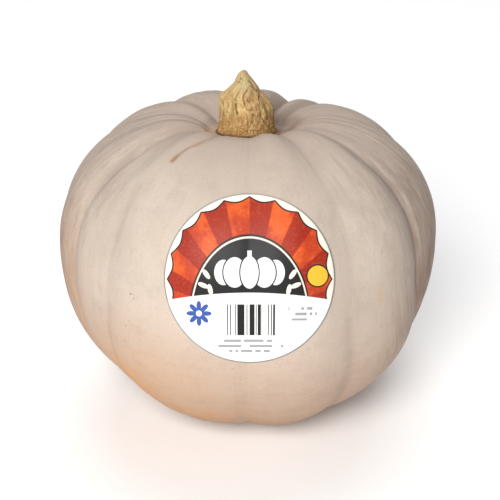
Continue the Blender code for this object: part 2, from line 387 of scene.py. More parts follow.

# Thin creases with painted shade along them, and the fine lengthwise waves and soft lumps that
# no two ribs share. Waves are higher where the skin is weathered. Both patterns fade out in the
# hollow round the stem.
WAVE_HEIGHT = 0.00030
WAVE_LEAST = 0.35
WAVE_WEATHERED_GAIN = 1.2
WAVE_WEATHERED_MOST = 0.9
WAVE_START_RADIUS = 0.03
WAVE_PATTERNS = (
    # share of the height, and closeness round the fruit and along the ribs
    (1.0, 16.0, 5.5),
    (0.5, 34.0, 10.0),
)
LUMP_HEIGHT = 0.0007
LUMP_START_RADIUS = 0.04
LUMP_PATTERNS = ((1.0, 24.0), (0.22, 70.0))
crease_shade = np.zeros(len(turn))
crease_cut = np.zeros(len(turn))
for middle, first, last, depth, half_width, darkness in CREASES:
    apart = np.radians(degrees_from(middle, rib_azimuth)) * radius
    mark = bell(apart, half_width) * ease((turn - first) / CREASE_START_BLEND)
    mark *= ease((last - turn) / CREASE_END_BLEND)
    crease_shade = np.maximum(crease_shade, darkness * mark)
    crease_cut += depth * mark
rib_angle = np.radians(rib_azimuth)
along = np.stack([np.sin(rib_angle), -np.cos(rib_angle), turn / math.pi], 1)
waves = sum(
    part * noise_at(along * (round_scale, round_scale, down_scale))
    for part, round_scale, down_scale in WAVE_PATTERNS
)
waves *= WAVE_LEAST + WAVE_WEATHERED_GAIN * np.minimum(weathering_and_shade, WAVE_WEATHERED_MOST)
waves *= WAVE_HEIGHT * (1 - bell(radius, WAVE_START_RADIUS))
side_way, front_way = np.sin(np.radians(azimuth)), np.cos(np.radians(azimuth))
smooth_places = np.stack([radius * side_way, -radius * front_way, WIDEST_LEVEL + rise], 1)
# Noise takes single precision.
lumps = sum(part * noise_at(np.float32(smooth_places) * scale) for part, scale in LUMP_PATTERNS)
lumps *= LUMP_HEIGHT * ease(radius / LUMP_START_RADIUS)

out, up = skin_normal(turn)
outward = swell - cut - crease_cut + waves + lumps
radius = radius + out * outward
forward = radius * front_way
height = WIDEST_LEVEL + rise + up * outward

# The seat under the stem leans forward with it, and the skin dips a little in front of the
# stem's foot. Below, the fruit rests on a flat foot with a rounded edge.
FOOT_DIP_DEPTH = 0.0013
FOOT_DIP_AZIMUTH = 18
FOOT_DIP_REACH = 40
FOOT_DIP_RADIUS = 0.0235
FOOT_DIP_SPREAD = 0.0065
FOOT_DIP_START = 0.0168
FOOT_DIP_BLEND = 0.0035
_, rim_rise = skin_profile(np.array(math.asin(SEAT_RADIUS / FRUIT_RADIUS)))
seat_level = WIDEST_LEVEL + float(rim_rise)
top = height + forward * math.tan(SEAT_LEAN) * bell(radius, 2 * SEAT_RADIUS)
seat = seat_level + forward * math.tan(SEAT_LEAN)
top = seat + (top - seat) * ease((radius - SEAT_RADIUS) / SEAT_BLEND)
foot_dip = bell(degrees_from(FOOT_DIP_AZIMUTH, azimuth), FOOT_DIP_REACH)
foot_dip *= bell(radius - FOOT_DIP_RADIUS, FOOT_DIP_SPREAD)
top -= FOOT_DIP_DEPTH * foot_dip * ease((radius - FOOT_DIP_START) / FOOT_DIP_BLEND)
foot = np.maximum(height + FOOT_ROUNDING, 0.0) ** 2 / (4 * FOOT_ROUNDING)
height = np.where(turn < math.pi / 2, top, np.where(height < FOOT_ROUNDING, foot, height))

# The blossom scar under the fruit: a small sunken ring with a corky button in its middle.
SCAR_RADIUS = 0.0095
SCAR_DEPTH = 0.0022
SCAR_REACH = 0.012
BUTTON_HEIGHT = 0.0011
BUTTON_RADIUS = 0.0035
under = turn > math.pi / 2
scar_dip = SCAR_DEPTH * bell(radius, SCAR_REACH) - BUTTON_HEIGHT * bell(radius, BUTTON_RADIUS)
height = np.where(under, height + scar_dip, height)

# The skin's box is centred on the solid's, and what it carries moves with it.
places = np.stack([radius * side_way, -forward, height], 1)
cad_low, cad_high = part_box("fruit")
shift = (np.array(cad_low) + np.array(cad_high) - places.min(0) - places.max(0)) / 2
shift[2] = 0.0
fruit_shift = Vector(shift)
fruit.data.vertices.foreach_set("co", (places + shift).astype(np.float32).ravel())
fruit.data.update()
bpy.ops.object.shade_smooth()


def paint_points(piece, name, values):
    """Keep a number, or a direction, for every point of a piece, for its material to read."""
    kind, slot = ("FLOAT", "value") if values.ndim == 1 else ("FLOAT_VECTOR", "vector")
    layer = piece.data.attributes.new(name, kind, "POINT")
    layer.data.foreach_set(slot, values.astype(np.float32).ravel())


def near_path(across_place, down_place, path, half_width):
    """1 on a drawn path, fading to nothing beside it."""
    nearest = np.full(len(across_place), np.inf)
    for (start_x, start_y), (end_x, end_y) in zip(path, path[1:]):
        run_x, run_y = end_x - start_x, end_y - start_y
        share = (across_place - start_x) * run_x + (down_place - start_y) * run_y
        share = np.clip(share / (run_x**2 + run_y**2), 0.0, 1.0)
        gap = np.hypot(
            across_place - start_x - share * run_x, down_place - start_y - share * run_y
        )
        nearest = np.minimum(nearest, gap)
    return bell(nearest, half_width)


# A healed brown scratch runs out from the stem on the left.
SCRATCH = (
    # half width, strength, and the rib azimuths and turns that it runs through
    (0.0015, 0.42, ((-37.0, 0.25), (-33.8, 0.34), (-33.6, 0.385), (-35.3, 0.43), (-37.0, 0.474))),
    (0.00042, 1.0, ((-35.3, 0.43), (-37.0, 0.474), (-38.7, 0.508), (-39.5, 0.542), (-40.2, 0.595))),
    (0.00075, 1.0, ((-40.2, 0.595), (-40.3, 0.645))),
)
# The skin there rolled out flat: its radius, and the way down it for one unit of turn.
SCRATCH_RADIUS = 0.045
SCRATCH_FALL = 0.081
from_front = np.radians(degrees_from(0.0, rib_azimuth)) * SCRATCH_RADIUS
scratch = np.zeros(len(turn))
for half_width, strength, path in SCRATCH:
    path = [(math.radians(a) * SCRATCH_RADIUS, t * SCRATCH_FALL) for a, t in path]
    mark = near_path(from_front, turn * SCRATCH_FALL, path, half_width)
    scratch = np.maximum(scratch, strength * mark)

# How strongly each colour and each painted shade shows at every point, for the skin's material.
# Radii are round the stem, and turns are from the stem.
CROWN_GREY_END = 1.35
CROWN_GREY_BLEND = 1.15
# The hollow round the stem gets painted shade, strongest on its side away from the key light.
HOLLOW_RADIUS = 0.031
HOLLOW_SHADED_SIDE = 120
HOLLOW_SHADED_REACH = 75
HOLLOW_LEAST_SHADE = 0.05
STAIN_RADIUS = 0.0172
STAIN_SPREAD = 0.0026
# A thin painted contact shadow lies where the stem's foot meets the skin.
FOOT_SHADOW_RADIUS = 0.0176
FOOT_SHADOW_SPREAD = 0.0011
UPPER_BLEND = 0.3
GROUND_START = 1.35
GROUND_BLEND = 0.85
upper = ease((math.pi / 2 - turn) / UPPER_BLEND)
shaded_side = bell(degrees_from(HOLLOW_SHADED_SIDE, azimuth), HOLLOW_SHADED_REACH)
shaded_side = HOLLOW_LEAST_SHADE + (1 - HOLLOW_LEAST_SHADE) * shaded_side
for name, values in (
    ("along", along),
    ("groove_shade", np.clip(groove_shade, 0.0, 1.0)),
    ("crease_shade", crease_shade),
    ("crown", ease((CROWN_GREY_END - turn) / CROWN_GREY_BLEND)),
    ("stem_hollow_shade", bell(radius, HOLLOW_RADIUS) * upper * shaded_side),
    ("foot_stain", bell(radius - STAIN_RADIUS, STAIN_SPREAD) * upper),
    ("foot_contact_shadow", bell(radius - FOOT_SHADOW_RADIUS, FOOT_SHADOW_SPREAD) * upper),
    ("blush", soft_patches(BLUSHES)),
    ("ruddy_and_shade", soft_patches(RUDDY_AND_SHADED_SIDES)),
    ("weathering_and_shade", weathering_and_shade),
    ("ground_side", ease((turn - GROUND_START) / GROUND_BLEND)),
    ("scratch", scratch),
    ("scar", np.where(under, bell(radius, SCAR_RADIUS), 0.0)),
):
    paint_points(fruit, name, values)


def add_node(material, kind, values=None, **settings):
    """Add a shader node with its settings, and its inputs as values or links."""
    made = material.node_tree.nodes.new("ShaderNode" + kind)
    for setting, value in settings.items():
        setattr(made, setting, value)
    set_inputs(material, made, values or {})
    return made


def reckon(material, operation, first, second=0.0, third=0.0):
    """One step of arithmetic on the surface."""
    inputs = {0: first, 1: second, 2: third}
    return add_node(material, "Math", inputs, operation=operation).outputs[0]


def times(material, first, second):
    """One share of another."""
    return reckon(material, "MULTIPLY", first, second)


def between(material, value, low, high, at_low=0.0, at_high=1.0):
    """A smooth change from one number to another as a value goes from low to high."""
    inputs = {
        "Value": value, "From Min": low, "From Max": high, "To Min": at_low, "To Max": at_high
    }
    made = add_node(material, "MapRange", inputs, interpolation_type="SMOOTHSTEP")
    return made.outputs["Result"]


def tint(material, share, under_colour, over_colour):
    """Lay one colour over another, by a share from 0 to 1."""
    inputs = {0: share, 6: under_colour, 7: over_colour}
    return add_node(material, "Mix", inputs, data_type="RGBA").outputs[2]


def painted(material, name, output="Fac"):
    """What was kept for the points of the piece under a name."""
    return add_node(material, "Attribute", attribute_name=name).outputs[output]


def faded(material, name, strength):
    """What was kept for the points of the piece, weakened."""
    return times(material, painted(material, name), strength)


def speckle(material, vector, scale, detail, roughness, distortion=0.0):
    """Soft natural noise, about 0.5 on average."""
    inputs = {
        "Vector": vector, "Scale": scale, "Detail": detail,
        "Roughness": roughness, "Distortion": distortion,
    }
    return add_node(material, "TexNoise", inputs).outputs["Fac"]


def stretch(material, vector, scale):
    """A pattern's place, drawn out or pressed together along its axes."""
    return add_node(material, "Mapping", {"Vector": vector, "Scale": scale}).outputs["Vector"]


def layered(material, rows):
    """Patterns laid over one another, each by its own height."""
    total = 0.0
    for pattern, pattern_height in rows:
        total = reckon(material, "MULTIPLY_ADD", pattern, pattern_height, total)
    return total


def fine_relief(material, relief, strength, distance):
    """Fine relief on a surface: how strongly it shows, and its height in metres."""
    inputs = {"Height": relief, "Strength": strength, "Distance": distance}
    return add_node(material, "Bump", inputs).outputs["Normal"]


skin, skin_shader = new_material("pumpkin skin")
object_place = add_node(skin, "TexCoord").outputs["Object"]
rib_place = painted(skin, "along", "Vector")
CREAM = (0.560, 0.480, 0.405, 1.0)
DEEP_CREAM = (0.510, 0.428, 0.358, 1.0)
TAUPE = (0.295, 0.235, 0.200, 1.0)
MAUVE = (0.160, 0.118, 0.105, 1.0)
HOLLOW_SHADE_TAUPE = (0.170, 0.122, 0.092, 1.0)
PEACH = (0.570, 0.290, 0.120, 1.0)
CROWN_TAN = (0.400, 0.305, 0.238, 1.0)
UNDERSIDE_TAN_AND_SHADE = (0.460, 0.300, 0.205, 1.0)
RUDDY = (0.205, 0.102, 0.058, 1.0)
STAIN_ORANGE = (0.330, 0.150, 0.050, 1.0)
SCRATCH_BROWN = (0.240, 0.125, 0.060, 1.0)
CORK_BROWN_AND_SHADOW = (0.150, 0.070, 0.030, 1.0)

# Cream with soft cloudy changes, greyer toward the crown. Painted shade darkens the grooves and
# the hollow round the stem; the underside is browner and the weathered patches greyer, each
# partly its own colour and partly painted shade.
broad = speckle(skin, object_place, 16.0, 3.0, 0.6)
cloudy = speckle(skin, object_place, 75.0, 4.0, 0.6)
skin_colour = tint(skin, between(skin, broad, 0.36, 0.64), DEEP_CREAM, CREAM)
skin_colour = tint(skin, between(skin, cloudy, 0.48, 0.68, 0.0, 0.20), skin_colour, TAUPE)
crown_share = times(skin, reckon(skin, "POWER", painted(skin, "crown"), 3.0), 0.8)
skin_colour = tint(skin, crown_share, skin_colour, CROWN_TAN)
for name, strength, colour in (
    ("crown", 0.45, TAUPE),
    ("groove_shade", 0.42, TAUPE),
    ("stem_hollow_shade", 0.70, HOLLOW_SHADE_TAUPE),
    ("ground_side", 0.70, UNDERSIDE_TAN_AND_SHADE),
    ("weathering_and_shade", 0.22, TAUPE),
):
    skin_colour = tint(skin, faded(skin, name, strength), skin_colour, colour)

# Smudged streaks follow the ribs, light and grey, strongest on the shoulders of the fruit.
smudges = speckle(skin, stretch(skin, rib_place, (25.0, 25.0, 13.0)), 1.0, 5.0, 0.65, 0.9)
streaks = speckle(skin, stretch(skin, rib_place, (62.0, 62.0, 27.0)), 1.0, 4.0, 0.65, 0.6)
light_share = times(skin, between(skin, smudges, 0.47, 0.34), faded(skin, "weathering_and_shade", 0.45))
skin_colour = tint(skin, light_share, skin_colour, CREAM)
for pattern, low, high, gain, least in (
    (smudges, 0.45, 0.75, 0.50, 0.07),
    (streaks, 0.48, 0.72, 0.42, 0.06),
):
    strength = reckon(skin, "MULTIPLY_ADD", painted(skin, "weathering_and_shade"), gain, least)
    grey_share = times(skin, between(skin, pattern, low, high), strength)
    skin_colour = tint(skin, grey_share, skin_colour, TAUPE)

# Fine crosswise arcs on the underside, where the skin stretched.
arcs = speckle(skin, stretch(skin, rib_place, (7.0, 7.0, 100.0)), 1.0, 3.0, 0.6, 0.6)
arc_share = times(skin, between(skin, arcs, 0.48, 0.68, 0.0, 0.20), painted(skin, "ground_side"))
skin_colour = tint(skin, arc_share, skin_colour, TAUPE)

# The peach blush low on the front, the ruddy brown flanks with painted shade toward the
# edges, the painted shade in the creases, the stain and the painted contact shadow round the
# stem's foot, the scratch and the blossom scar.
patchy = between(skin, smudges, 0.25, 0.70, 0.70, 1.0)
streaky = layered(skin, ((smudges, 0.5), (streaks, 0.5)))
streaky = between(skin, streaky, 0.34, 0.62, 0.50, 1.0)
blotchy = between(skin, cloudy, 0.38, 0.58, 0.3, 1.0)
for name, strength, pattern, colour in (
    ("blush", 0.80, patchy, PEACH),
    ("ruddy_and_shade", 0.95, streaky, RUDDY),
    ("crease_shade", 0.60, None, MAUVE),
    ("foot_stain", 0.75, blotchy, STAIN_ORANGE),
    ("foot_contact_shadow", 0.90, None, CORK_BROWN_AND_SHADOW),
    ("scratch", 0.95, None, SCRATCH_BROWN),
    ("scar", 0.85, None, CORK_BROWN_AND_SHADOW),
):
    layer_share = faded(skin, name, strength)
    if pattern is not None:
        layer_share = times(skin, layer_share, pattern)
    skin_colour = tint(skin, layer_share, skin_colour, colour)

# Pores, and tiny dark flecks in loose groups.
pores = speckle(skin, object_place, 900.0, 2.0, 0.6)
skin_colour = tint(skin, between(skin, pores, 0.50, 0.68, 0.0, 0.20), skin_colour, TAUPE)
flecks = add_node(skin, "TexVoronoi", {"Vector": object_place, "Scale": 210.0}).outputs["Distance"]
fleck_groups = speckle(skin, object_place, 60.0, 2.0, 0.5)
fleck_groups = between(skin, fleck_groups, 0.58, 0.68, 0.0, 0.45)
fleck_share = times(skin, between(skin, flecks, 0.10, 0.04), fleck_groups)
skin_colour = tint(skin, fleck_share, skin_colour, MAUVE)

# Single marks on the skin, such as flecks, faint peach spots and a painted shade beside the
# stem: middle, half sizes, strength and colour.
SKIN_MARKS = (
    ((-0.0619, -0.0885, 0.1080), (0.0007, 0.0020, 0.0007), 0.85, MAUVE),
    ((-0.0602, -0.0897, 0.1061), (0.0006, 0.0020, 0.0006), 0.75, MAUVE),
    ((-0.0639, -0.0873, 0.0911), (0.0005, 0.0020, 0.0005), 0.55, MAUVE),
    ((-0.0655, -0.0861, 0.0873), (0.0007, 0.0020, 0.0006), 0.85, MAUVE),
    ((-0.0490, -0.0970, 0.0875), (0.0055, 0.0060, 0.0006), 0.30, PEACH),
    ((0.0696, -0.0844, 0.1055), (0.0026, 0.0060, 0.0050), 0.22, PEACH),
    ((0.0690, -0.0848, 0.1020), (0.0030, 0.0060, 0.0006), 0.45, PEACH),
    ((0.0702, -0.0840, 0.1000), (0.0024, 0.0060, 0.0005), 0.35, PEACH),
    # Painted shade in the hollow to the right of the stem.
    ((0.0245, 0.0060, 0.1645), (0.0130, 0.0150, 0.0100), 0.60, HOLLOW_SHADE_TAUPE),
    ((-0.0195, 0.0020, 0.1645), (0.0070, 0.0090, 0.0050), 0.32, PEACH),
    ((-0.0225, -0.0250, 0.1742), (0.0060, 0.0050, 0.0030), 0.28, PEACH),
)
for mark_place, mark_size, strength, colour in SKIN_MARKS:
    inputs = {"Vector": object_place, "Location": mark_place, "Scale": mark_size}
    mark_space = add_node(skin, "Mapping", inputs, vector_type="TEXTURE").outputs["Vector"]
    from_mark = add_node(skin, "VectorMath", {0: mark_space}, operation="LENGTH").outputs["Value"]
    skin_colour = tint(skin, between(skin, from_mark, 1.0, 0.4, 0.0, strength), skin_colour, colour)

# The skin is waxy and slightly uneven, and the arcs stand out a little on the underside.
SKIN_BUMP = (0.35, 0.0006)
ground_arcs = times(skin, arcs, painted(skin, "ground_side"))
skin_relief = layered(
    skin, ((streaks, 0.25), (smudges, 0.5), (pores, 0.16), (cloudy, 0.25), (ground_arcs, 0.35))
)
set_inputs(skin, skin_shader, {
    "Base Color": skin_colour,
    "Roughness": between(skin, broad, 0.3, 0.7, 0.52, 0.64),
    "Specular IOR Level": 0.22,
    "Normal": fine_relief(skin, skin_relief, *SKIN_BUMP),
})
fruit.data.materials.append(skin)
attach(fruit, "root")
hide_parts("fruit")

# The stem: the dried stub that the fruit hung by, corky and ridged, with a crumbly foot that
# is grown on to the fruit, a folded knot on its front, and a blunt point where it was torn.
STEM_SIDE = -0.0006
STEM_SECTIONS = (
    # in millimetres: height, middle to the right, half width, half depth
    (0.0, -1.0, 16.3, 16.0),
    (1.2, -0.65, 15.85, 15.8),
    (8.0, -0.2, 15.4, 15.4),
    (13.8, -0.6, 15.0, 14.9),
    (18.8, -1.8, 13.8, 13.6),
    (21.5, -3.2, 12.4, 12.2),
    (23.3, -2.85, 9.65, 10.8),
    (25.1, -2.05, 8.45, 9.3),
    (27.7, -1.6, 6.0, 7.2),
    (32.8, -2.4, 2.8, 3.4),
    (34.6, -2.0, 1.5, 1.7),
    (35.2, -1.85, 0.9, 1.0),
)
STEM_TIP_ROUNDING_MM = 0.8
STEM_CORNER_ROUNDING_MM = 0.9
STEM_RADIUS_MM = 15.0
STEM_FISSURES = (
    # depth in metres, half width in millimetres, darkness, and the places that it runs
    # through: degrees round the stem from its front, and height in millimetres
    (0.0010, 0.45, 1.0, ((34, 29.6), (38, 29.1), (44, 26.5), (60, 24.1))),
    (0.0007, 0.38, 1.0, ((34, 26.6), (30, 24.6), (38, 22.8))),
    (0.0010, 0.42, 1.0, ((21, 26.9), (6, 24.0), (5, 21.6), (2, 19.1), (-2, 17.0))),
    (0.0009, 0.38, 1.0, ((-17, 25.4), (-15, 23.1), (-16, 19.6), (-20, 15.9), (-18, 12.5))),
    (0.0008, 0.38, 0.9, ((-31, 22.8), (-24, 20.7), (-30, 17.8), (-29, 14.0))),
    (0.0006, 0.36, 0.7, ((-44, 21.0), (-41, 17.5), (-45, 13.0))),
    (0.0005, 0.36, 0.6, ((-62, 19.5), (-58, 15.0), (-61, 11.0))),
    (0.0008, 0.40, 0.9, ((15, 13.4), (13, 11.0), (11, 8.2))),
    (0.0007, 0.40, 0.8, ((1, 11.7), (3, 2.9))),
    (0.0007, 0.42, 0.7, ((3, 15.9), (8, 15.2), (14, 15.7), (20, 15.1), (28, 15.4))),
    (0.0009, 0.55, 0.9, ((12, 20.6), (15, 19.9))),
    (0.0007, 0.45, 0.6, ((23, 20.8), (27, 19.8))),
    (0.0006, 0.40, 0.6, ((30, 18.4), (33, 16.6))),
    (0.0009, 0.42, 0.9, ((84, 24.2), (40, 20.2), (31, 15.0), (31, 11.3), (47, 5.7))),
    (0.0007, 0.38, 0.8, ((58, 21.0), (50, 15.0), (52, 9.0))),
)
STEM_FOLDS = (
    # height in metres, half width in millimetres, and the places that it runs through
    (0.00112, 1.2, ((38, 27.8), (20, 25.2), (11, 22.6), (9, 19.0), (8, 16.4))),
    (0.00084, 1.3, ((52, 24.0), (42, 21.5), (38, 17.5), (42, 12.0))),
    (0.00112, 1.5, ((16, 23.0), (22, 23.0))),
    (0.00112, 1.4, ((13, 17.9), (22, 17.9))),
    (0.00084, 1.0, ((14, 13.4), (20, 12.8))),
    (0.00084, 1.2, ((4, 14.0), (6, 10.0))),
    (0.00070, 1.2, ((22, 13.0), (20, 8.0))),
    (0.00070, 1.3, ((-10, 24.0), (-10, 18.0), (-12, 12.0))),
    (0.00056, 1.3, ((-23, 23.0), (-21, 18.0), (-24, 13.0))),
)
STEM_PITS = (
    # degrees round the stem from its front, height and half size in millimetres
    (-22, 31.0, 0.62), (-36, 29.2, 0.5), (30, 27.4, 0.45), (44, 25.2, 0.45), (16, 12.9, 0.6),
)
STEM_PIT_DEPTH = 0.0006
# The swollen knot, and the smooth facet on the torn point: degrees round the stem, height,
# half width and half height in millimetres.
KNOT = (22.0, 20.2, 4.0, 5.2)
KNOT_HEIGHT = 0.0009
FACET = (-2.0, 28.0, 5.6, 3.4)
FACET_DEPTH = 0.0003
# The relief of the bark, in metres, and how it is held back where the stem is slim or smooth.
RIDGE_HEIGHT = 0.0006
WRINKLE_HEIGHT = 0.00055
FINE_WRINKLE_HEIGHT = 0.00032
CRUMB_HEIGHT = 0.0013
CRUMBLY_REACH_MM = 6.5
CRACK_DEPTH = 0.00028
CRACK_DARKNESS = 0.55
CRACK_WIDTH = 0.055
FISSURE_LEAST = 0.35
SLIM_LEAST = 0.25
FACET_SMOOTHNESS = 0.9
HOLLOW_DEPTH = 0.0007
CREST_START = 0.0003
CREST_HEIGHT = 0.0006
CRUMBLY_SMOOTHNESS = 0.5
# How far the drawn paths wander with the wrinkles, and how wide they still are at the point.
WANDER_MM = 0.6
FINE_WANDER_MM = 0.5
SLIMMEST_SHARE = 0.35
BARK_LENGTH_MM = 20
FOOT_FLARES = (
    # width in metres, height in millimetres, and, in radians, where round the stem its
    # middle is and how far it reaches
    (0.0003, 1.6, 0.0, math.inf),
    (0.0002, 1.6, -math.pi / 2, 0.5),
    (0.0012, 1.0, math.pi / 2, 0.35),
)
STEM_SEGMENTS = 280
STEM_LEVELS = 168
STEM_FOOT_RINGS = 8
STEM_GAP = 0.0001
stem, stem_line, stem_level = fine_ball("stem_stub", STEM_SEGMENTS, STEM_LEVELS)
angle = math.tau * stem_line / STEM_SEGMENTS
ring = STEM_LEVELS - stem_level
share = np.maximum(ring - STEM_FOOT_RINGS, 0) / (STEM_LEVELS - STEM_FOOT_RINGS)
section_heights, section_middles, section_widths, section_depths = np.array(STEM_SECTIONS).T
stem_height = section_heights[-1]
climb_mm = stem_height * share


def eased_section(sizes):
    """One size of the stem's sections at every point, with its corners rounded."""
    steps = np.linspace(-STEM_CORNER_ROUNDING_MM, STEM_CORNER_ROUNDING_MM, 5)
    return sum(np.interp(climb_mm + step, section_heights, sizes) for step in steps) / len(steps)


closing = np.sqrt(np.clip((stem_height - climb_mm) / STEM_TIP_ROUNDING_MM, 0.0, 1.0))
half_width = eased_section(section_widths) * closing / 1000
half_depth = eased_section(section_depths) * closing / 1000
slimness = np.minimum(half_width * 1000 / STEM_RADIUS_MM, 1.0)
around_mm = angle * STEM_RADIUS_MM
round_place = np.stack([np.sin(angle), -np.cos(angle), climb_mm / BARK_LENGTH_MM], 1)


def bark(round_scale, height_scale):
    """Natural noise on the stem, drawn out along it when the second scale is the lower."""
    return noise_at(round_place * (round_scale, round_scale, height_scale))


ridges = bark(4.6, 1.1)
wrinkles = bark(10, 3.2)
fine_wrinkles = bark(21, 9)
crumbs = bark(15, 19) + 0.6 * bark(29, 37)
splits = bark(7.5, 2.0)
around_mm += WANDER_MM * wrinkles + FINE_WANDER_MM * fine_wrinkles


def stem_path(path, half_width_mm):
    """1 along a path on the stem, given by degrees and heights, fading beside it."""
    rolled_out = [(math.radians(a) * STEM_RADIUS_MM, h) for a, h in path]
    slim = np.interp(climb_mm, section_heights, section_widths) / STEM_RADIUS_MM
    half_width_mm = half_width_mm / np.clip(slim, SLIMMEST_SHARE, 1.0)
    return near_path(around_mm, climb_mm, rolled_out, half_width_mm)


def stem_patch(degrees, level_mm, half_round_mm, half_height_mm):
    """1 in the middle of an oval patch on the stem, fading outwards."""
    aside = around_mm - math.radians(degrees) * STEM_RADIUS_MM
    return bell(np.hypot(aside / half_round_mm, (climb_mm - level_mm) / half_height_mm), 1.0)


# Bark with ridges, wrinkles and fine cracks, which turns crumbly toward the foot.
crumbly = bell(climb_mm, CRUMBLY_REACH_MM)
patchiness = FISSURE_LEAST + (1 - FISSURE_LEAST) * ease((fine_wrinkles + wrinkles + 0.5) / 0.8)
cracks = np.clip(1 - np.abs(splits) / CRACK_WIDTH, 0.0, 1.0) * ease((wrinkles + 0.15) / 0.3)
facet = stem_patch(*FACET)
rough_bark = 1 - FACET_SMOOTHNESS * facet
swelling = RIDGE_HEIGHT * ridges + WRINKLE_HEIGHT * wrinkles + FINE_WRINKLE_HEIGHT * fine_wrinkles
swelling *= rough_bark * (1 - CRUMBLY_SMOOTHNESS * crumbly)
swelling += CRUMB_HEIGHT * crumbs * crumbly
fissure = CRACK_DARKNESS * cracks * rough_bark
swelling -= CRACK_DEPTH * fissure
for depth, half_width_mm, darkness, path in STEM_FISSURES:
    mark = stem_path(path, half_width_mm) * patchiness
    fissure = np.maximum(fissure, darkness * mark)
    swelling -= depth * mark
for fold_height, half_width_mm, path in STEM_FOLDS:
    swelling += fold_height * stem_path(path, half_width_mm)
for degrees, level_mm, pit_size in STEM_PITS:
    rolled_out = np.interp(level_mm, section_heights, section_widths) / STEM_RADIUS_MM
    mark = stem_patch(degrees, level_mm, pit_size / rolled_out, pit_size)
    fissure = np.maximum(fissure, mark)
    swelling -= STEM_PIT_DEPTH * mark
knot = stem_patch(*KNOT)
swelling += KNOT_HEIGHT * knot - FACET_DEPTH * facet
swelling *= (SLIM_LEAST + (1 - SLIM_LEAST) * slimness) * closing
for flare, flare_mm, flare_angle, flare_reach in FOOT_FLARES:
    swelling += flare * bell(climb_mm, flare_mm) * bell(angle - flare_angle, flare_reach)
inner = np.minimum(ring / STEM_FOOT_RINGS, 1.0)
spot = np.stack([
    (half_width + swelling) * inner * np.sin(angle) + eased_section(section_middles) / 1000,
    -(half_depth + swelling) * inner * np.cos(angle),
    climb_mm / 1000,
], 1)
spot[ring == STEM_LEVELS, :2] = spot[ring == STEM_LEVELS, :2].mean(0)
spot[ring <= STEM_FOOT_RINGS, 2] = 0.0
stem.data.vertices.foreach_set("co", spot.astype(np.float32).ravel())
stem_place = fruit_shift + Vector((STEM_SIDE, 0.0, seat_level + STEM_GAP))
stem.data.transform(Matrix.Translation(stem_place) @ Matrix.Rotation(-SEAT_LEAN, 4, "X"))
bpy.ops.object.shade_smooth()
# Besides the bark's own marks, the points keep where painted shade lies in the bark's hollows and on
# its right side, and where painted highlights lie on the crumb tops.
for name, values in (
    ("fissure", fissure),
    ("bark_hollow_shade", np.clip(-swelling / HOLLOW_DEPTH, 0.0, 1.0) * rough_bark),
    ("crest_highlight", np.clip((swelling - CREST_START) / CREST_HEIGHT, 0.0, 1.0) * crumbly),
    ("knot", knot),
    ("facet", facet),
    ("climb", share),
    ("crumbly", crumbly),
    ("shaded_right_side", np.clip(np.sin(angle), 0.0, 1.0)),
    ("round", round_place),
):
    paint_points(stem, name, values)

# Straw and ochre cork, greener toward the point, with pale flecks and rusty fibres, dark
# cracks and a rusty knot. Shade is painted on its right side, in the hollows of the bark and
# round its foot, and highlights are painted on the tops of the crumbs.
cork, cork_shader = new_material("dried stem")
STRAW = (0.575, 0.405, 0.170, 1.0)
OCHRE = (0.430, 0.235, 0.072, 1.0)
RUST = (0.400, 0.170, 0.055, 1.0)
GREEN_STRAW = (0.455, 0.430, 0.235, 1.0)
DARK_CREVICE = (0.130, 0.060, 0.020, 1.0)
PALE_CORK_AND_HIGHLIGHT = (0.690, 0.550, 0.290, 1.0)
DARK_CORK_AND_SHADE = (0.255, 0.135, 0.045, 1.0)
stem_round = painted(cork, "round", "Vector")
stem_object = add_node(cork, "TexCoord").outputs["Object"]
stem_climb = painted(cork, "climb")
mottle = speckle(cork, stem_object, 190.0, 4.0, 0.6)
flecks_across = speckle(cork, stretch(cork, stem_round, (13.0, 13.0, 6.0)), 1.0, 5.0, 0.7, 0.3)
fibre = speckle(cork, stretch(cork, stem_round, (26.0, 26.0, 5.0)), 1.0, 4.0, 0.65)
grit = speckle(cork, stem_object, 1000.0, 3.0, 0.6)

lower = between(cork, reckon(cork, "MULTIPLY_ADD", mottle, 0.5, stem_climb), 0.36, 0.80)
cork_colour = tint(cork, lower, OCHRE, STRAW)
